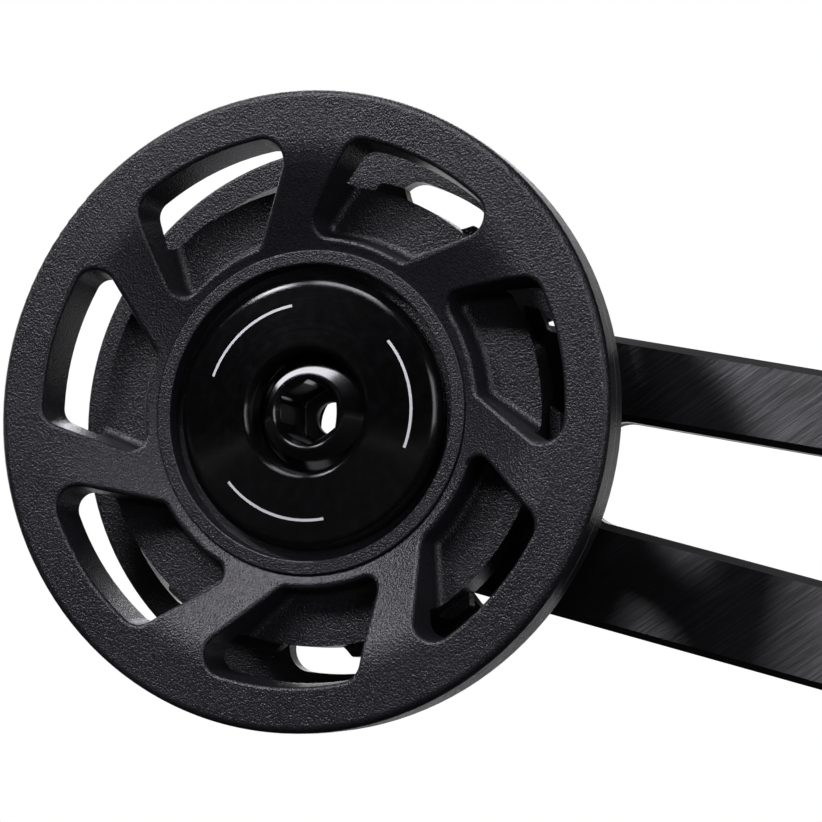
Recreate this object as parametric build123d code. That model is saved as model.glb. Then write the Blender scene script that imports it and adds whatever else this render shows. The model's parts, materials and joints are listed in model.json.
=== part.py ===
"""Bicycle chain guide: a toothed pulley wheel on a sealed bearing, carried by a two-armed backplate.

The guide is modelled lying face up. Z runs forward along the axle, Z = 0 is the mounting face at the
back of the plate, and the origin is the centre of the mounting bolt circle. The finished pieces are then
stood up, so that the front of the guide faces -Y and +Z is up. Angles that are called clockwise are
clockwise as seen from the front. Sizes are in millimetres and degrees.
"""
import math
import os

from build123d import *

# Backplate
PLATE_T = 4.5
PLATE_EDGE = 0.7
AXLE_TO_MOUNT = 98.0
AXLE_ANGLE = 13.5
EYE_R = 14.05
EYE_HOLE_EDGE = 1.0
UPPER_ARM_W = 8.7
UPPER_ARM_ANGLE = 11.3
LOWER_ARM_W = 10.8
LOWER_ARM_ANGLE = 15.7
ARM_ROOT_R = 8.0
SLOT_START = 27.0
SLOT_CORNER_R = 3.5
RING_R = 35.0
RING_BORE_R = 21.5
MOUNT_CIRCLE_R = 28.0
MOUNT_HOLES = 3
MOUNT_HOLE_R = 3.2

# Chain and teeth
CHAIN_PITCH = 12.7
ROLLER_R = 3.9
TEETH = 14
TOOTH_H = 1.2
TOOTH_T = 1.8
TOOTH_CORNER_R = 0.5
TOOTH_TURN_ANGLE = 3.7
TOOTH_SETBACK = 1.0
ROLLER_PLAY = 0.35
FLANK_PLAY = 1.3

# Both pulley halves
GROOVE_W = 10.2
FIT = 0.02
SPIGOT_R = 17.0
SPIGOT_PLAY = 0.1
SPIGOT_BITE = 0.2
WHEEL_GAP = 0.8

# Outer half, with the wide flange
RIM_R = 33.3
FLANGE_T = 4.8
RIM_LIP_H = 0.9
RIM_LIP_W = 2.2
RIM_FRONT_EDGE_R = 0.8
RIM_BACK_EDGE_R = 0.4
RIM_STEP = 0.1
RIM_STEP_AT = 2.7
DISH = 4.1
DISH_BLEND_R = 10.0
WELL_R = 15.5
HUB_RING_W = 1.5
HUB_RING_RISE = 0.35
HUB_RING_EDGE_R = 0.2
POCKET_FLOOR = 7.0
FLOOR_T = 4.8
WINDOWS = 7
RIM_FLAT_W = 7.2
RIM_BAND_W = 4.7
HUB_LAND_W = 1.0
WINDOW_ARC_ANGLE = 38.4
WINDOW_LEAN_ANGLE = 15.7
WINDOW_TURN_ANGLE = 28.7
WINDOW_OUTER_CORNER_R = 2.3
WINDOW_INNER_CORNER_R = 1.8
WINDOW_DRAFT_ANGLE = 6.0
WINDOW_EDGE_R = 0.45
POCKET_FILLET = 0.9
FRONT_LIP_T = 1.6

# Inner half, with the narrow flange
REAR_FLANGE_R = 30.0
REAR_FLANGE_T = 2.0
REAR_EDGE_R = 0.4
REAR_BAND_W = 3.0
SPIGOT_WALL_T = 1.8
REAR_WINDOW_ARC_ANGLE = 25.7
REAR_WINDOW_TURN_ANGLE = 40.0
REAR_WINDOW_CORNER_R = 2.5
LIP_W = 0.9

# Screws that clamp the halves together
SCREWS = 4
SCREW_R = 1.5
SCREW_HEAD_R = 2.8
SCREW_CIRCLE_R = 13.4
SCREW_LENGTH = 9.0
SCREW_KEY_R = 1.0
SCREW_KEY_DEPTH = 0.9
SCREW_PLAY = 0.15

# Sealed ball bearing
AXLE_R = 5.0
BEARING_R = 9.5
BEARING_W = 5.0
BALLS = 11
BALL_R = 1.2
BALL_PLAY = 0.03
LAND_GAP = 1.8
CAGE_T = 1.0
CAGE_BACK = 1.6
CAGE_FRONT = 0.6
CAGE_PLAY = 0.12
SEAL_T = 0.5
SEAL_INSET = 0.2
SEAL_BITE = 0.4
SEAL_PLAY = 0.08

# Spacer, cap and axle bolt
SPACER_T = 5.0
SPACER_R = 6.1
CAP_R = 14.4
CAP_T = 1.8
CAP_EDGE = 0.75
CAP_RISE = 1.0
CAP_BOSS_R = 7.4
CAP_BOSS_H = 2.0
CAP_RELIEF = 0.35
CAP_WEB_T = 1.0
CAP_RECESS_R = 6.25
CAP_RECESS_EDGE = 0.6
BOLT_PLAY = 0.05
BOLT_HEAD_PLAY = 0.2
BOLT_HEAD_H = 3.4
BOLT_HEAD_SIDE_H = 0.3
BOLT_CROWN_R = 4.0
BOLT_KEY_AF = 6.0
BOLT_KEY_DEPTH = 7.7
BOLT_KEY_MOUTH_R = 3.75
BOLT_NECK_R = 1.75
BOLT_NECK_L = 1.0
BOLT_BORE_R = 4.3
BOLT_END_GAP = 2.0
BOLT_END_EDGE = 0.45

# Stations along the axle, forward from the mounting face
bearing_back = PLATE_T + SPACER_T
bearing_front = bearing_back + BEARING_W
bearing_mid = (bearing_back + bearing_front) / 2
spigot_back = bearing_back + SPIGOT_BITE
wheel_back = PLATE_T + WHEEL_GAP
groove_back = wheel_back + REAR_FLANGE_T
groove_front = groove_back + GROOVE_W
groove_mid = (groove_back + groove_front) / 2
rim_front = groove_front + FLANGE_T
rim_back = groove_front - RIM_LIP_H
pocket_floor = rim_front - POCKET_FLOOR
drum_back = pocket_floor - FLOOR_T
dish_bottom = rim_front - DISH
hub_ring_front = dish_bottom + HUB_RING_RISE
well_floor = bearing_front + FRONT_LIP_T
cap_back = bearing_front + CAP_BOSS_H
cap_front = cap_back + CAP_T
cap_peak = cap_front + CAP_RISE
bolt_seat = bearing_front + CAP_WEB_T
bolt_top = bolt_seat + BOLT_HEAD_H

# Radii that follow from the chain and the bearing
pitch_r = CHAIN_PITCH / (2 * math.sin(math.pi / TEETH))
drum_r = pitch_r - ROLLER_R - ROLLER_PLAY
tooth_tip_r = drum_r + TOOTH_H
lip_r = BEARING_R - LIP_W
hub_ring_r = WELL_R + HUB_RING_W
window_outer_r = RIM_R - RIM_BAND_W
window_inner_r = hub_ring_r + HUB_LAND_W
dish_r = RIM_R - RIM_FLAT_W
dish_slope = math.atan2(DISH, dish_r - hub_ring_r)
blend_reach = DISH_BLEND_R * math.tan(dish_slope / 2)
blend_outer_r = dish_r + blend_reach
blend_inner_r = dish_r - blend_reach * math.cos(dish_slope)
spigot_seat_r = SPIGOT_R + SPIGOT_PLAY
rear_window_outer_r = REAR_FLANGE_R - REAR_BAND_W
rear_window_inner_r = spigot_seat_r + SPIGOT_WALL_T
ball_circle_r = (AXLE_R + BEARING_R) / 2
outer_land_r = ball_circle_r + LAND_GAP / 2
inner_land_r = ball_circle_r - LAND_GAP / 2
seal_seat_r = outer_land_r + SEAL_BITE
bolt_r = AXLE_R - BOLT_PLAY

# The axle's place beside the mounting bolt circle
axle_x = -AXLE_TO_MOUNT * math.cos(math.radians(AXLE_ANGLE))
axle_y = AXLE_TO_MOUNT * math.sin(math.radians(AXLE_ANGLE))
AXLE = Pos(axle_x, axle_y, 0)


def plug(radius, low, high):
    """A plain cylinder about Z between two stations."""
    return Pos(0, 0, low) * Cylinder(radius, high - low, align=(Align.CENTER, Align.CENTER, Align.MIN))


def ring(outer_r, inner_r, low, high):
    """A plain tube about Z between two stations."""
    return plug(outer_r, low, high) - plug(inner_r, low, high)


def turned(*profile):
    """A turned solid: the closed outline of radius and station points is swept once about Z."""
    return revolve(Plane.XZ * make_face(Polyline(*profile, close=True)), Axis.Z)


def sector_window(outer_r, inner_r, arc, lean, outer_corner_r, inner_corner_r):
    """An arc-sided opening centred on +X at its inner edge; its outer edge leans clockwise."""
    outer = CenterArc((0, 0), outer_r, -lean - arc / 2, arc)
    inner = CenterArc((0, 0), inner_r, -arc / 2, arc)
    sides = [Line(outer @ 0, inner @ 0), Line(outer @ 1, inner @ 1)]
    opening = make_face([outer, inner] + sides)
    mid_r = (outer_r + inner_r) / 2
    opening = fillet([v for v in opening.vertices() if Vector(v).length > mid_r], outer_corner_r)
    return fillet([v for v in opening.vertices() if Vector(v).length < mid_r], inner_corner_r)


def around(count, turn):
    """Evenly spaced places about Z, the first one turned clockwise from +X."""
    return PolarLocations(0, count, start_angle=-turn)


def arm_edge(fall, offset, distance):
    """A point beside the arm's own line through the axle: offset across it, distance along it."""
    angle = math.radians(-fall)
    along = Vector(math.cos(angle), math.sin(angle))
    across = Vector(-math.sin(angle), math.cos(angle))
    return along * distance + across * offset


def arm_wedge(upper_offset, lower_offset, start):
    """The flat shape between two edges, one on each arm's side, from a start distance to the mount."""
    corners = [
        arm_edge(UPPER_ARM_ANGLE, upper_offset, start),
        arm_edge(UPPER_ARM_ANGLE, upper_offset, AXLE_TO_MOUNT),
        arm_edge(LOWER_ARM_ANGLE, lower_offset, AXLE_TO_MOUNT),
        arm_edge(LOWER_ARM_ANGLE, lower_offset, start),
    ]
    return AXLE * make_face(Polyline(*corners, close=True))


def on_ring(shape):
    """The corners of a flat shape that lie on the mounting ring's outer circle."""
    return [v for v in shape.vertices() if math.isclose(Vector(v).length, RING_R, abs_tol=1e-3)]


def backplate():
    """Aluminium plate: the axle's eye, two diverging arms with a slot between them, and the mounting ring."""
    outline = AXLE * Circle(EYE_R) + arm_wedge(EYE_R, -EYE_R, 0) + Circle(RING_R)
    outline = fillet(on_ring(outline), ARM_ROOT_R)
    slot = arm_wedge(EYE_R - UPPER_ARM_W, LOWER_ARM_W - EYE_R, SLOT_START) - Circle(RING_R)
    slot = fillet(slot.vertices(), SLOT_CORNER_R)
    plate = extrude(outline - slot - Circle(RING_BORE_R), PLATE_T)
    by_height = plate.faces().sort_by(Axis.Z)
    plate = chamfer(by_height[0].edges() + by_height[-1].edges(), PLATE_EDGE)
    plate -= AXLE * turned(
        (0, 0),
        (AXLE_R + EYE_HOLE_EDGE, 0),
        (AXLE_R, EYE_HOLE_EDGE),
        (AXLE_R, PLATE_T),
        (0, PLATE_T),
    )
    mount_holes = PolarLocations(MOUNT_CIRCLE_R, MOUNT_HOLES, start_angle=-AXLE_ANGLE)
    return plate - mount_holes * plug(MOUNT_HOLE_R, 0, PLATE_T)


def tooth_ring():
    """Low chain teeth: a disc of the tip radius with a seat cut for each chain roller."""
    seats = PolarLocations(pitch_r, TEETH, start_angle=180 / TEETH - TOOTH_TURN_ANGLE)
    crown = Circle(tooth_tip_r) - seats * Circle(ROLLER_R + ROLLER_PLAY + FLANK_PLAY)
    tips = [v for v in crown.vertices() if Vector(v).length > tooth_tip_r - TOOTH_H / 2]
    crown = fillet(tips, TOOTH_CORNER_R)
    crown_back = groove_mid - TOOTH_SETBACK - TOOTH_T / 2
    return Pos(0, 0, crown_back) * extrude(crown, TOOTH_T) - plug(WELL_R, drum_back, groove_front)


def front_window_cutter():
    """One swept window: drafted walls from the front, rounded where they meet the pocket floor."""
    outline = sector_window(
        window_outer_r,
        window_inner_r,
        WINDOW_ARC_ANGLE,
        WINDOW_LEAN_ANGLE,
        WINDOW_OUTER_CORNER_R,
        WINDOW_INNER_CORNER_R,
    )
    cutter = extrude(Pos(0, 0, rim_front) * outline, POCKET_FLOOR, dir=(0, 0, -1), taper=WINDOW_DRAFT_ANGLE)
    return fillet(cutter.faces().sort_by(Axis.Z)[0].edges(), POCKET_FILLET)


def runs_at(radii, radius):
    """Whether all of an edge's sampled radii are this one, so that it runs round the axle."""
    return all(math.isclose(r, radius, abs_tol=1e-3) for r in radii)


def rings_window(edge):
    """Whether an edge lies in the front face, round a window, and isn't an edge of the dish's blend."""
    points = [edge @ share for share in (0, 0.5, 1)]
    radii = [math.hypot(p.X, p.Y) for p in points]
    in_face = min(p.Z for p in points) > dish_bottom
    by_window = hub_ring_r < min(radii) and max(radii) < RIM_R - RIM_BAND_W / 2
    in_blend = runs_at(radii, blend_outer_r) or runs_at(radii, blend_inner_r)
    return in_face and by_window and not in_blend


def circle_edge(shape, radius, station):
    """The round edge of a turned shape that is nearest to a radius and a station."""
    return shape.edges().filter_by(GeomType.CIRCLE).sort_by_distance((radius, 0, station))[0]


def screw_holes(radius, low, high):
    """A round hole at each clamping screw, between two stations."""
    return PolarLocations(SCREW_CIRCLE_R, SCREWS) * plug(radius, low, high)


def outer_pulley_half():
    """Moulded outer half: wide flange dished inside a flat rim, swept windows, toothed drum and hub."""
    half = turned(
        (BEARING_R + FIT, spigot_back),
        (SPIGOT_R, spigot_back),
        (SPIGOT_R, drum_back),
        (drum_r, drum_back),
        (drum_r, groove_front),
        (RIM_R - RIM_LIP_W, groove_front),
        (RIM_R - RIM_LIP_W, rim_back),
        (RIM_R - RIM_STEP, rim_back),
        (RIM_R - RIM_STEP, rim_front - RIM_STEP_AT),
        (RIM_R, rim_front - RIM_STEP_AT),
        (RIM_R, rim_front),
        (dish_r, rim_front),
        (hub_ring_r, dish_bottom),
        (hub_ring_r, hub_ring_front),
        (WELL_R, hub_ring_front),
        (WELL_R, well_floor),
        (lip_r, well_floor),
        (lip_r, bearing_front),
        (BEARING_R + FIT, bearing_front),
    )
    half = fillet(circle_edge(half, RIM_R, rim_front), RIM_FRONT_EDGE_R)
    half = fillet(circle_edge(half, RIM_R - RIM_STEP, rim_back), RIM_BACK_EDGE_R)
    half = fillet(circle_edge(half, dish_r, rim_front), DISH_BLEND_R)
    half = fillet(circle_edge(half, hub_ring_r, hub_ring_front), HUB_RING_EDGE_R)
    half = fillet(circle_edge(half, WELL_R, hub_ring_front), HUB_RING_EDGE_R)
    half += tooth_ring()
    half -= around(WINDOWS, WINDOW_TURN_ANGLE) * front_window_cutter()
    half = fillet([e for e in half.edges() if rings_window(e)], WINDOW_EDGE_R)
    half -= screw_holes(SCREW_R, spigot_back, wheel_back + SCREW_LENGTH + SCREW_PLAY)
    return half


def inner_pulley_half():
    """Moulded inner half: narrow flange with its own windows, registered on the outer half's hub."""
    half = turned(
        (lip_r, wheel_back),
        (REAR_FLANGE_R, wheel_back),
        (REAR_FLANGE_R, groove_back),
        (drum_r, groove_back),
        (drum_r, drum_back),
        (spigot_seat_r, drum_back),
        (spigot_seat_r, spigot_back),
        (BEARING_R + FIT, spigot_back),
        (BEARING_R + FIT, bearing_back),
        (lip_r, bearing_back),
    )
    half = fillet(half.edges().filter_by(GeomType.CIRCLE).group_by(SortBy.RADIUS)[-1], REAR_EDGE_R)
    outline = sector_window(
        rear_window_outer_r,
        rear_window_inner_r,
        REAR_WINDOW_ARC_ANGLE,
        0,
        REAR_WINDOW_CORNER_R,
        REAR_WINDOW_CORNER_R,
    )
    cutter = Pos(0, 0, wheel_back) * extrude(outline, drum_back - wheel_back)
    half -= around(WINDOWS, REAR_WINDOW_TURN_ANGLE) * cutter
    half -= screw_holes(SCREW_R + SCREW_PLAY, wheel_back, spigot_back)
    return half - PolarLocations(SCREW_CIRCLE_R, SCREWS) * screw_head(SCREW_PLAY)


def screw_head(play):
    """The countersunk cone of a clamping screw, grown by the play that its seat leaves round it."""
    head_h = SCREW_HEAD_R - SCREW_R
    return turned(
        (0, wheel_back),
        (SCREW_HEAD_R + play, wheel_back),
        (SCREW_R + play, wheel_back + head_h),
        (0, wheel_back + head_h),
    )


def half_screws():
    """Countersunk screws, put in from behind, that clamp the two pulley halves round the bearing."""
    screw = screw_head(0) + plug(SCREW_R - FIT, wheel_back, wheel_back + SCREW_LENGTH)
    key = extrude(RegularPolygon(SCREW_KEY_R, 6), SCREW_KEY_DEPTH)
    screw -= Pos(0, 0, wheel_back) * key
    return Compound([place * screw for place in PolarLocations(SCREW_CIRCLE_R, SCREWS)])


def ball_track():
    """The ring-shaped track that the balls run in, cut in both races."""
    return Pos(0, 0, bearing_mid) * Torus(ball_circle_r, BALL_R + BALL_PLAY)


def bearing_outer_race():
    """Outer race with its ball track and a seat for a seal at each end."""
    seal_seat = SEAL_INSET + SEAL_T
    race = ring(BEARING_R, outer_land_r, bearing_back, bearing_front) - ball_track()
    race -= ring(seal_seat_r, outer_land_r, bearing_back, bearing_back + seal_seat)
    return race - ring(seal_seat_r, outer_land_r, bearing_front - seal_seat, bearing_front)


def bearing_inner_race():
    """Inner race, clamped between the cap and the spacer."""
    return ring(inner_land_r, AXLE_R, bearing_back, bearing_front) - ball_track()


def bearing_balls():
    """The steel balls, evenly spaced in the track."""
    ball = Pos(0, 0, bearing_mid) * Sphere(BALL_R)
    return Compound([place * ball for place in PolarLocations(ball_circle_r, BALLS)])


def bearing_cage():
    """Crown cage: a moulded ring with a snap-in pocket for each ball."""
    cage = ring(
        ball_circle_r + CAGE_T / 2,
        ball_circle_r - CAGE_T / 2,
        bearing_mid - CAGE_BACK,
        bearing_mid + CAGE_FRONT,
    )
    pocket = Pos(0, 0, bearing_mid) * Sphere(BALL_R + CAGE_PLAY)
    return cage - PolarLocations(ball_circle_r, BALLS) * pocket


def bearing_seal(low):
    """Rubber seal: a flat ring pressed into the outer race, its lip just clear of the inner one."""
    return ring(seal_seat_r - FIT, inner_land_r + SEAL_PLAY, low, low + SEAL_T)


def rear_spacer():
    """Turned spacer ring between the backplate's eye and the bearing's inner race."""
    return ring(SPACER_R, AXLE_R, PLATE_T, bearing_back)


def front_cap():
    """Turned cap in the hub: a low coned face, a recess for the bolt's head, a boss on the bearing."""
    return turned(
        (AXLE_R, bearing_front),
        (SPACER_R, bearing_front),
        (SPACER_R, bearing_front + CAP_RELIEF),
        (CAP_BOSS_R, bearing_front + CAP_RELIEF),
        (CAP_BOSS_R, cap_back),
        (CAP_R, cap_back),
        (CAP_R, cap_front - CAP_EDGE),
        (CAP_R - CAP_EDGE, cap_front),
        (CAP_RECESS_R + CAP_RECESS_EDGE, cap_peak),
        (CAP_RECESS_R, cap_peak - CAP_RECESS_EDGE),
        (CAP_RECESS_R, bolt_seat),
        (AXLE_R, bolt_seat),
    )


def axle_bolt():
    """Hollow axle bolt: tall crowned head with a hexagon socket, a short neck and a wide rear bore."""
    head_r = CAP_RECESS_R - BOLT_HEAD_PLAY
    neck_front = bolt_top - BOLT_KEY_DEPTH
    bore_front = neck_front - BOLT_NECK_L
    key_r = BOLT_KEY_AF / math.sqrt(3)
    mouth_h = BOLT_KEY_MOUTH_R - BOLT_KEY_AF / 2
    bolt = turned(
        (BOLT_BORE_R + BOLT_END_EDGE, BOLT_END_GAP),
        (bolt_r, BOLT_END_GAP),
        (bolt_r, bolt_seat),
        (head_r, bolt_seat),
        (head_r, bolt_seat + BOLT_HEAD_SIDE_H),
        (BOLT_CROWN_R, bolt_top),
        (0, bolt_top),
        (0, neck_front),
        (BOLT_NECK_R, neck_front),
        (BOLT_NECK_R, bore_front),
        (BOLT_BORE_R, bore_front),
        (BOLT_BORE_R, BOLT_END_GAP + BOLT_END_EDGE),
    )
    bolt -= Pos(0, 0, neck_front) * extrude(RegularPolygon(key_r, 6, rotation=90), BOLT_KEY_DEPTH)
    mouth = Cone(BOLT_KEY_AF / 2, BOLT_KEY_MOUTH_R, mouth_h, align=(Align.CENTER, Align.CENTER, Align.MAX))
    return bolt - Pos(0, 0, bolt_top) * mouth


def main():
    """Build every piece, stand the guide up and write one file for each."""
    on_axle = {
        "outer_pulley_half": outer_pulley_half(),
        "inner_pulley_half": inner_pulley_half(),
        "half_screws": half_screws(),
        "bearing_outer_race": bearing_outer_race(),
        "bearing_inner_race": bearing_inner_race(),
        "bearing_balls": bearing_balls(),
        "bearing_cage": bearing_cage(),
        "front_bearing_seal": bearing_seal(bearing_front - SEAL_INSET - SEAL_T),
        "rear_bearing_seal": bearing_seal(bearing_back + SEAL_INSET),
        "rear_spacer": rear_spacer(),
        "front_cap": front_cap(),
        "axle_bolt": axle_bolt(),
    }
    upright = Rot(90, 0, 0)
    pieces = {name: upright * AXLE * piece for name, piece in on_axle.items()}
    pieces["backplate"] = upright * backplate()
    os.makedirs("parts", exist_ok=True)
    for name, piece in pieces.items():
        export_step(piece, f"parts/{name}.step")


main()
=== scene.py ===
"""Looks of a bicycle chain guide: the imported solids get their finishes, a printed ring, light and a camera.

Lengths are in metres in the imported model's own frame: the guide faces -Y, +Z is up, and the pulley wheel
turns about an axle parallel to Y on the -X side.
"""
import json

import bpy
import numpy as np
from mathutils import Matrix, Vector


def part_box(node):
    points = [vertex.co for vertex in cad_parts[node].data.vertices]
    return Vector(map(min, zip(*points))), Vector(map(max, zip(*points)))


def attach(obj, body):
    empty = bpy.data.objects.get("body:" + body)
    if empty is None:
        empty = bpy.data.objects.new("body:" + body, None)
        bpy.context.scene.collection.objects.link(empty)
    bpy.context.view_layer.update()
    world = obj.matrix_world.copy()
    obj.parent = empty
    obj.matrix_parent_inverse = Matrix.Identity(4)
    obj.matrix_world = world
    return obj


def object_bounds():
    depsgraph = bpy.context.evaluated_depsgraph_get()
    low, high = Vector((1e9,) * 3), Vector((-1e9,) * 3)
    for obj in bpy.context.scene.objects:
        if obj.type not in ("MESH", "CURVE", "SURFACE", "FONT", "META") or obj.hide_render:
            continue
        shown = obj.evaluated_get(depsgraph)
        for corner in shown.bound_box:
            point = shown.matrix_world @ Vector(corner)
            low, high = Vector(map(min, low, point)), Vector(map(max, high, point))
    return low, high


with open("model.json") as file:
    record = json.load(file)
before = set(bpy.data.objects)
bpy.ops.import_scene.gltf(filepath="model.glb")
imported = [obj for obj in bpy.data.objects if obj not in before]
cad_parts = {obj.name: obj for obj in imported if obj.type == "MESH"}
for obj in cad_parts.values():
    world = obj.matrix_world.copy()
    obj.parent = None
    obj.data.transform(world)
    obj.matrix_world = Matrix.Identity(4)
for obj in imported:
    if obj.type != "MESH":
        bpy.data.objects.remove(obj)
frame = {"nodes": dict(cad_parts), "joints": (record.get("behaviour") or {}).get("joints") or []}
cad_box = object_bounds()

# The backplate is a flat aluminium plate, cut to shape and edge-chamfered. Its faces are brushed with long
# slanting strokes before the black anodising, so the dark surface still shows the lines as a streaky gloss.
# It is bolted to the bicycle by the ring at its far end and carries everything else.


class Strand:
    """One value on its way through a finish. Arithmetic adds Math nodes, and add() makes any other node."""

    def __init__(self, tree, socket=None):
        self.tree = tree
        self.socket = socket

    def add(self, kind, settings=None, sockets=None, output=0):
        """Make a node: its settings first, then a value or a link for each named socket."""
        node = self.tree.nodes.new(kind)
        for name, value in (settings or {}).items():
            setattr(node, name, value)
        for name, value in (sockets or {}).items():
            target = next(s for s in node.inputs if name in (s.identifier, s.name))
            if isinstance(value, Strand):
                self.tree.links.new(value.socket, target)
            else:
                target.default_value = value
        return Strand(self.tree, node.outputs[output] if node.outputs else None)

    def maths(self, operation, first, second):
        """A Math node on two values."""
        return self.add("ShaderNodeMath", {"operation": operation}, {"Value": first, "Value_001": second})

    def __add__(self, other):
        return self.maths("ADD", self, other)

    def __radd__(self, other):
        return self.maths("ADD", other, self)

    def __sub__(self, other):
        return self.maths("SUBTRACT", self, other)

    def __rsub__(self, other):
        return self.maths("SUBTRACT", other, self)

    def __mul__(self, other):
        return self.maths("MULTIPLY", self, other)

    def __rmul__(self, other):
        return self.maths("MULTIPLY", other, self)

    def vectors(self, operation, *others, output="Vector"):
        """A Vector Math node on this vector and the others that the operation takes."""
        sockets = dict(zip(("Vector", "Vector_001", "Vector_002"), (self, *others)))
        return self.add("ShaderNodeVectorMath", {"operation": operation}, sockets, output)

    def between(self, low, high):
        """0 below low, 1 above high, and smooth in between."""
        return self.add(
            "ShaderNodeMapRange",
            {"interpolation_type": "SMOOTHSTEP"},
            {"Value": self, "From Min": low, "From Max": high},
        )

    def blend(self, first, second):
        """A colour between two, by this value from 0 to 1."""
        ends = [end if isinstance(end, Strand) else (*end, 1) for end in (first, second)]
        return self.add(
            "ShaderNodeMix",
            {"data_type": "RGBA"},
            {"Factor_Float": self, "A_Color": ends[0], "B_Color": ends[1]},
            output=2,
        )


def start_finish(name):
    """A new empty material: its start strand, and its Object coordinates in metres."""
    material = bpy.data.materials.new(name)
    material.use_nodes = True
    material.node_tree.nodes.clear()
    start = Strand(material.node_tree)
    return material, start, start.add("ShaderNodeTexCoord", output="Object")


def end_finish(start, sockets):
    """Close a finish with one Principled shader whose sockets get these values or strands."""
    shader = start.add("ShaderNodeBsdfPrincipled", None, sockets)
    start.add("ShaderNodeOutputMaterial", None, {"Surface": shader})


def noise(place, scale, detail=3.0):
    """Cloudy noise from 0 to 1; scale is in cycles per metre."""
    sockets = {"Vector": place, "Scale": scale, "Detail": detail, "Roughness": 0.55}
    return place.add("ShaderNodeTexNoise", None, sockets)


def bump(height, depth, edge_r=0.0):
    """A normal from a height that runs from 0 to 1 over a depth in metres, with edges broken to a radius."""
    sockets = {"Height": height, "Strength": 1.0, "Distance": depth}
    if edge_r:
        sockets["Normal"] = height.add("ShaderNodeBevel", {"samples": 8}, {"Radius": edge_r})
    return height.add("ShaderNodeBump", None, sockets)


def dress(material, *nodes):
    """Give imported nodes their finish."""
    for node in nodes:
        mesh = frame["nodes"][node].data
        mesh.materials.clear()
        mesh.materials.append(material)


def brushed_anodise():
    """Black anodised aluminium with long slanting brush strokes on its two faces. Each stroke is a shallow
    scratch, whose sides tilt the surface across the stroke and not along it."""
    material, start, place = start_finish("black_brushed_anodise")
    slope = np.radians(33.0)
    steepness = 1.1
    turned = place.add(
        "ShaderNodeVectorRotate", {"rotation_type": "Y_AXIS"}, {"Vector": place, "Angle": slope}
    )
    strokes = noise(turned.vectors("MULTIPLY", (60.0, 3000.0, 3000.0)), 1.0)
    fine = noise(turned.vectors("MULTIPLY", (250.0, 9000.0, 9000.0)), 1.0, 2.0)
    wear = noise(place, 60.0)
    depth = strokes * 0.3 + fine * 0.7
    facing = start.add("ShaderNodeNewGeometry", output="Normal")
    forward = start.add("ShaderNodeSeparateXYZ", None, {"Vector": facing}, "Y")
    tilt = (depth - 0.5) * steepness * (forward * forward).between(0.8, 0.95)
    across = start.add(
        "ShaderNodeCombineXYZ", None, {"X": tilt * -np.sin(slope), "Z": tilt * np.cos(slope)}
    )
    end_finish(
        start,
        {
            "Base Color": depth.between(0.35, 0.7).blend((0.003, 0.003, 0.0035), (0.006, 0.006, 0.007)),
            "Roughness": 0.3 + strokes * 0.14 + wear * 0.06,
            "Specular IOR Level": 0.7,
            "Anisotropic": 0.95,
            "Anisotropic Rotation": 0.25 + np.degrees(slope) / 360,
            "Normal": facing.vectors("ADD", across).vectors("NORMALIZE"),
        },
    )
    return material


dress(brushed_anodise(), "backplate")


# The rear spacer is a small turned aluminium ring, black anodised like the cap. It stands on the plate round
# the axle bolt and holds the bearing's inner race clear of the plate.

axle = Vector(frame["joints"][0]["pos_m"])


def round_axle(place):
    """The distance from the axle's line, and the place along it."""
    across = place.vectors("SUBTRACT", axle).vectors("MULTIPLY", (1.0, 0.0, 1.0))
    radius = across.vectors("LENGTH", output="Value")
    return radius, place.add("ShaderNodeSeparateXYZ", None, {"Vector": place}, "Y")


def turned_anodise(name, line_pitch, edge_r, bore_r=0.0, lean=(0.0, 0.0), flatten=0.0, gloss=0.5):
    """Gloss black anodised aluminium with the faint rings that a lathe leaves round the axle. Inside the
    bore's radius the drilled wall is dull. Outside the bore's mouth a lean in X and Y turns the surface to
    the front, as a soft dome's, and flattening takes a share of its sideways slope away, so that a highlight
    spreads across it."""
    material, start, place = start_finish(name)
    mouth_width = 0.0007
    radius, depth = round_axle(place)
    rings = noise(start.add("ShaderNodeCombineXYZ", None, {"X": radius, "Y": depth}), 1 / line_pitch, 2.0)
    dust = noise(place, 900.0, 4.0)
    drilled = 1 - radius.between(bore_r, bore_r + 0.0001)
    domed = radius.between(bore_r + mouth_width, bore_r + mouth_width + 0.0002)
    kept = start.add("ShaderNodeCombineXYZ", None, {"X": 1 - domed * flatten, "Y": 1.0, "Z": 1.0})
    leaning = start.add("ShaderNodeCombineXYZ", None, {"X": domed * lean[0], "Y": domed * lean[1]})
    lined = bump(rings, 0.000003, edge_r)
    end_finish(
        start,
        {
            "Base Color": dust.between(0.4, 0.8).blend((0.002, 0.002, 0.0022), (0.004, 0.004, 0.0044)),
            "Roughness": 0.08 + rings * 0.08 + dust * 0.04 + drilled * 0.4,
            "Specular IOR Level": gloss,
            "Normal": lined.vectors("MULTIPLY_ADD", kept, leaning).vectors("NORMALIZE"),
        },
    )
    return material


dress(turned_anodise("black_turned_spacer", line_pitch=0.0003, edge_r=0.0002), "rear_spacer")


# The wheel turns on a sealed ball bearing of ground steel, with a crown cage of pale nylon and a black rubber
# seal in each end. The two pulley halves trap its outer race, and the cap clamps its inner one.


def ground_steel():
    """Hard steel, ground bright, with a little oil film."""
    material, start, place = start_finish("ground_bearing_steel")
    lines = noise(place.vectors("MULTIPLY", (400.0, 9000.0, 400.0)), 1.0)
    film = noise(place, 500.0)
    end_finish(
        start,
        {
            "Base Color": film.blend((0.56, 0.56, 0.58), (0.66, 0.66, 0.67)),
            "Roughness": 0.16 + lines * 0.14,
            "Metallic": 1.0,
            "Normal": bump(lines, 0.000003),
        },
    )
    return material


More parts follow.
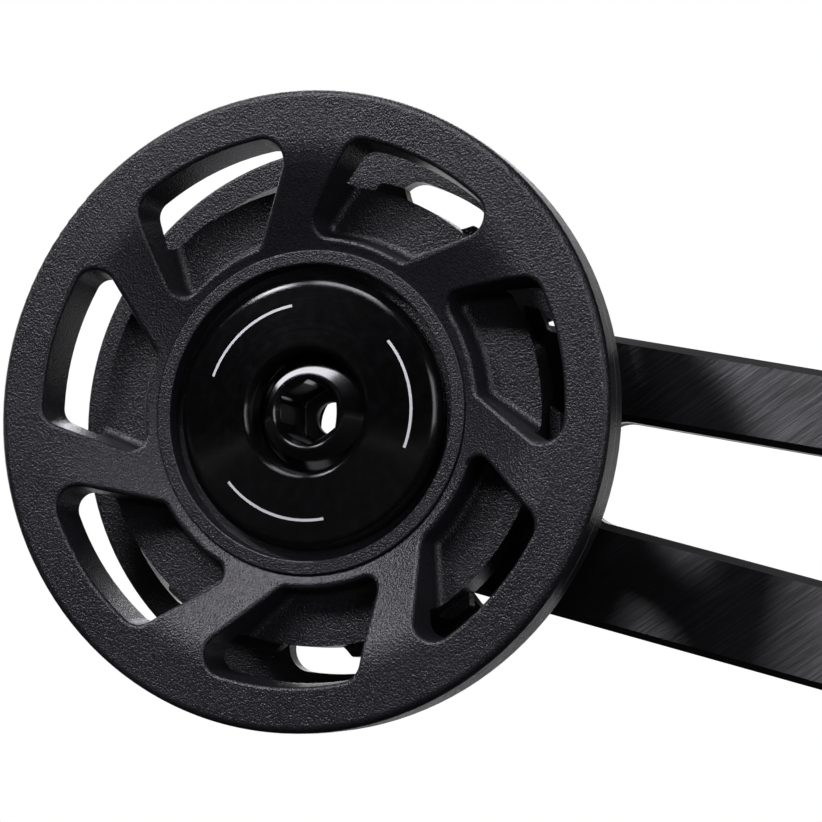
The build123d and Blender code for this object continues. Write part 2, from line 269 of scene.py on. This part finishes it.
def natural_nylon():
    """Unfilled moulded nylon, ivory and slightly cloudy."""
    material, start, place = start_finish("natural_cage_nylon")
    cloud = noise(place, 700.0)
    end_finish(
        start,
        {
            "Base Color": cloud.blend((0.5, 0.44, 0.33), (0.62, 0.57, 0.46)),
            "Roughness": 0.42 + cloud * 0.12,
            "Normal": bump(cloud, 0.00001),
        },
    )
    return material


def seal_rubber():
    """Matt black rubber with a dusty bloom."""
    material, start, place = start_finish("black_seal_rubber")
    bloom = noise(place, 1500.0, 5.0)
    end_finish(
        start,
        {
            "Base Color": bloom.blend((0.012, 0.012, 0.013), (0.03, 0.03, 0.031)),
            "Roughness": 0.6 + bloom * 0.2,
            "Normal": bump(bloom, 0.00002),
        },
    )
    return material


dress(ground_steel(), "bearing_outer_race", "bearing_inner_race", "bearing_balls")
dress(natural_nylon(), "bearing_cage")
dress(seal_rubber(), "front_bearing_seal", "rear_bearing_seal")


# The two halves of the pulley wheel are moulded in black fibre-filled nylon. The mould is spark-eroded, so
# the plastic has a fine leathery grain that spreads the light to a grey sheen. Countersunk black steel
# screws, put in from behind, clamp the inner half against the outer one.

rim_low, rim_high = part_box("outer_pulley_half")
rim_r = (rim_high.x - rim_low.x) / 2
parting_y = rim_low.y + 0.0033
# The width of the pale band painted round the rim as a highlight on the mould's parting ridge.
parting_highlight_width = 0.00012


def grained_nylon():
    """Black moulded plastic with an eroded grain about a sixth of a millimetre across, and a fine pale line
    painted round the rim where the mould's two sides meet, as a painted highlight of light caught on that
    ridge."""
    material, start, place = start_finish("black_grained_nylon")
    grain = noise(place, 5400.0, 2.0)
    pits = place.add("ShaderNodeTexVoronoi", {"feature": "SMOOTH_F1"}, {"Vector": place, "Scale": 4600.0})
    flow = noise(place, 120.0, 4.0)
    height = grain * 0.7 + pits * 0.3
    fleck = (height + (flow - 0.5) * 0.25).between(0.3, 0.6)
    plastic = fleck.blend((0.0055, 0.0054, 0.0066), (0.016, 0.0156, 0.0192))
    radius, depth = round_axle(place)
    # The pale band along the parting ridge is a painted highlight: light caught on the ridge, painted into
    # the base colour.
    rise = depth.between(parting_y - parting_highlight_width, parting_y)
    fall = depth.between(parting_y, parting_y + parting_highlight_width)
    parting_highlight = radius.between(rim_r - 0.0006, rim_r - 0.0004) * (rise - fall)
    end_finish(
        start,
        {
            "Base Color": parting_highlight.blend(plastic, (0.28, 0.28, 0.29)),
            "Roughness": 0.22 + grain * 0.12 + flow * 0.08,
            "Normal": bump(height, 0.00012),
        },
    )
    return material


def oxide_steel():
    """Screw steel with a black oxide skin, rubbed a little brighter in places."""
    material, start, place = start_finish("black_oxide_steel")
    rub = noise(place, 1200.0, 5.0)
    end_finish(
        start,
        {
            "Base Color": rub.between(0.45, 0.8).blend((0.02, 0.02, 0.021), (0.07, 0.068, 0.065)),
            "Roughness": 0.38 + rub * 0.15,
            "Metallic": 0.8,
            "Normal": bump(rub, 0.00001),
        },
    )
    return material


dress(grained_nylon(), "inner_pulley_half", "outer_pulley_half")
dress(oxide_steel(), "half_screws")


# The front cap is turned from aluminium bar, chamfered and gloss black anodised. It drops into the wheel's
# hub and clamps the inner race. A fine white ring is printed on its face, broken into three equal arcs.

dress(turned_anodise("black_turned_cap", line_pitch=0.00025, edge_r=0.0007), "front_cap")

cap_peak_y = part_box("front_cap")[0].y
cap_peak_r = 0.00685
cap_slope = 0.147
mark_r = 0.0113
mark_width = 0.00029
mark_ink = 0.00002
mark_sweep = 60.0
mark_starts = np.array([81.0, 201.0, 321.0])


def grid_mesh(name, points, closed=False):
    """A mesh from patches of points in rows and columns: each cell becomes a face. In a closed patch the last
    column meets the first, and the first and last rows are faces too."""
    number = np.arange(points[..., 0].size).reshape(points.shape[:3])
    beside = np.roll(number, -1, axis=2)
    last = None if closed else -1
    corners = [number[:, :-1, :last], beside[:, :-1, :last], beside[:, 1:, :last], number[:, 1:, :last]]
    faces = np.stack(corners, axis=-1).reshape(-1, 4)
    if closed:
        faces = np.concatenate([faces, number[:, 0, ::-1], number[:, -1]])
    mesh = bpy.data.meshes.new(name)
    mesh.from_pydata(points.reshape(-1, 3).tolist(), [], faces.tolist())
    mesh.update()
    made = bpy.data.objects.new(name, mesh)
    bpy.context.collection.objects.link(made)
    return made


def printed_arcs(steps):
    """Bands of ink on the cap's cone. At a turn clockwise from +X a band's section has four corners: its
    radius is the ring's plus or minus half its width, and its depth is the cone's, raised or sunk by the
    ink."""
    turn = np.radians(mark_starts[:, None, None] + np.linspace(0, mark_sweep, steps)[None, :, None])
    radius = mark_r + mark_width * np.array([-0.5, 0.5, 0.5, -0.5]) + 0 * turn
    lift = mark_ink * np.array([1, 1, -1, -1])
    depth = cap_peak_y + (radius - cap_peak_r) * cap_slope - lift
    return np.stack([axle.x + radius * np.cos(turn), depth, axle.z - radius * np.sin(turn)], axis=-1)


def white_print():
    """Pad-printed white ink, a little uneven."""
    material, start, place = start_finish("white_print_ink")
    cover = noise(place, 2500.0, 4.0)
    end_finish(
        start,
        {
            "Base Color": cover.blend((0.62, 0.62, 0.63), (0.74, 0.74, 0.75)),
            "Roughness": 0.45 + cover * 0.15,
            "Normal": bump(cover, 0.000005),
        },
    )
    return material


ring_marks = grid_mesh("cap_ring_marks", printed_arcs(61), closed=True)
ring_marks.data.materials.append(white_print())
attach(ring_marks, "plate")


# The axle bolt is a hollow aluminium bolt with a tall crowned head and a hexagon socket, gloss black
# anodised. It passes through the cap, the bearing and the spacer, and screws into the plate's eye.

bolt_finish = turned_anodise(
    "black_turned_bolt",
    line_pitch=0.0002,
    edge_r=0.0005,
    bore_r=0.0031,
    lean=(0.34, -1.3),
    flatten=0.7,
    gloss=0.9,
)
dress(bolt_finish, "axle_bolt")


# The guide stands on a plain pale floor, in front of a white background. Camera, glossy and transmitted rays
# see white there, and other rays a dim grey, so that the background doesn't light the object. The floor
# keeps the guide's shadow near it and fades into the background further out.

floor_reach = 6.0
floor_gap = 0.0002
shadow_middle = (-0.05, 0.0, 0.0)
fade_start = 0.2
fade_end = 0.45
dim_light = 0.04
steps = np.linspace(-floor_reach, floor_reach, 5)
floor_x, floor_y = np.meshgrid(steps, steps)
floor_z = np.full_like(floor_x, cad_box[0].z - floor_gap)
floor = grid_mesh("floor", np.stack([floor_x, floor_y, floor_z], axis=-1)[None])


def seen_white(start):
    """1 for rays that show the background: camera, glossy and transmitted ones."""
    rays = ("Is Camera Ray", "Is Glossy Ray", "Is Transmission Ray")
    camera_ray, glossy_ray, through_ray = [start.add("ShaderNodeLightPath", output=ray) for ray in rays]
    return start.maths("MINIMUM", camera_ray + glossy_ray + through_ray, 1.0)


floor_finish, start, place = start_finish("pale_floor")
seen = seen_white(start)
paper = noise(place, 30.0).blend((0.2, 0.2, 0.2), (0.22, 0.22, 0.22))
diffuse = start.add("ShaderNodeBsdfDiffuse", None, {"Color": seen.blend((0.2, 0.2, 0.2), (0.8, 0.8, 0.8))})
glow = start.add("ShaderNodeEmission", None, {"Color": paper, "Strength": seen})
near = start.add("ShaderNodeAddShader", None, {"Shader": diffuse, "Shader_001": glow})
far = start.add("ShaderNodeEmission", None, {"Strength": dim_light + seen * (1 - dim_light)})
fade = place.vectors("DISTANCE", shadow_middle, output="Value").between(fade_start, fade_end)
surface = start.add("ShaderNodeMixShader", None, {"Fac": fade, "Shader": near, "Shader_001": far})
start.add("ShaderNodeOutputMaterial", None, {"Surface": surface})
floor.data.materials.append(floor_finish)

world = bpy.data.worlds.new("studio")
bpy.context.scene.world = world
world.use_nodes = True
world.node_tree.nodes.clear()
start = Strand(world.node_tree)
brightness = dim_light + seen_white(start) * (1 - dim_light)
sky = start.add("ShaderNodeBackground", None, {"Color": (1, 1, 1, 1), "Strength": brightness})
start.add("ShaderNodeOutputWorld", None, {"Surface": sky})


# Black velvet stands round the front and right of the guide and lies before it, as a photographer sets it to
# keep gloss surfaces dark. The camera looks past it, and it throws no shadow.

velvet_r = 2.2
mat_back = 0.06


def velvet_dome(columns, rows):
    """Part of a sphere about the axle: azimuth by elevation, from the left round the front to the back."""
    azimuth = np.radians(np.linspace(-100, 172, columns))[:, None]
    elevation = np.radians(np.linspace(-1, 88, rows))[None, :]
    round_x = axle.x + velvet_r * np.sin(azimuth) * np.cos(elevation)
    round_y = axle.y - velvet_r * np.cos(azimuth) * np.cos(elevation)
    round_z = axle.z + velvet_r * np.sin(elevation) + 0 * azimuth
    return np.stack([round_x, round_y, round_z], axis=-1)[None]


def velvet_mat(columns, rows):
    """A flat part of a disc under the guide and in front of it: radius by azimuth, just above the floor."""
    azimuth = np.radians(np.linspace(-130, 150, columns))[:, None]
    radius = np.linspace(0.01, velvet_r, rows)[None, :]
    flat_x = axle.x + radius * np.sin(azimuth)
    flat_y = cad_box[1].y + mat_back - radius * np.cos(azimuth)
    flat_z = np.full_like(flat_x, cad_box[0].z + floor_gap)
    return np.stack([flat_x, flat_y, flat_z], axis=-1)[None]


velvet_finish, start, place = start_finish("black_velvet")
pile = noise(place, 200.0).blend((0.002, 0.002, 0.002), (0.005, 0.005, 0.005))
end_finish(start, {"Base Color": pile, "Roughness": 1.0})
for cloth in (grid_mesh("velvet_dome", velvet_dome(33, 17)), grid_mesh("velvet_mat", velvet_mat(33, 5))):
    cloth.data.materials.append(velvet_finish)
    cloth.visible_camera = False
    cloth.visible_shadow = False


# Soft studio lamps: a small key lamp high on the left, which throws the wheel's shadow on the upper arm, and
# larger ones above, on the right and behind.

lamp_distance = 1.2


def pointing(azimuth, elevation):
    """The direction at these angles in degrees: azimuth turns from the front towards +X, elevation rises."""
    a, e = np.radians(azimuth), np.radians(elevation)
    return Vector((np.sin(a) * np.cos(e), -np.cos(a) * np.cos(e), np.sin(e)))


def lamp(name, azimuth, elevation, size, power):
    """A square soft lamp aimed at the wheel, with its side in metres and its power in watts."""
    light = bpy.data.lights.new(name, "AREA")
    light.shape = "SQUARE"
    light.size = size
    light.energy = power
    light.color = (1.0, 0.975, 1.05)
    away = pointing(azimuth, elevation)
    holder = bpy.data.objects.new(name, light)
    holder.location = axle + away * lamp_distance
    holder.rotation_mode = "QUATERNION"
    holder.rotation_quaternion = away.to_track_quat("Z", "Y")
    bpy.context.collection.objects.link(holder)


lamp("key_lamp", azimuth=-38.0, elevation=37.0, size=0.2, power=5.5)
lamp("top_lamp", azimuth=-9.0, elevation=47.0, size=0.5, power=8.5)
lamp("right_lamp", azimuth=46.0, elevation=8.0, size=0.6, power=4.5)
lamp("back_lamp", azimuth=-160.0, elevation=35.0, size=0.6, power=5.0)


# The camera stands a little right of the front and slightly below the axle, close enough for some
# perspective. It points to the right of the wheel's middle, so that the arms are in the picture.

focus = Vector((axle.x, -0.0223, axle.z))
eye_distance = 0.33
eye_right = 0.011873
eye_up = -0.00028
image_width = 822
focal_pixels = 3211.0
back = pointing(18.197, -5.642)
right = Vector((0, 0, 1)).cross(back).normalized()
up = back.cross(right)
eye = focus + back * eye_distance + right * eye_right + up * eye_up
camera_data = bpy.data.cameras.new("camera")
camera_data.sensor_width = 36.0
camera_data.lens = camera_data.sensor_width * focal_pixels / image_width
camera_data.clip_start = 0.01
camera = bpy.data.objects.new("camera", camera_data)
camera.matrix_world = Matrix.Translation(eye) @ Matrix((right, up, back)).transposed().to_4x4()
bpy.context.collection.objects.link(camera)
bpy.context.scene.camera = camera
bpy.context.scene.view_settings.view_transform = "Standard"
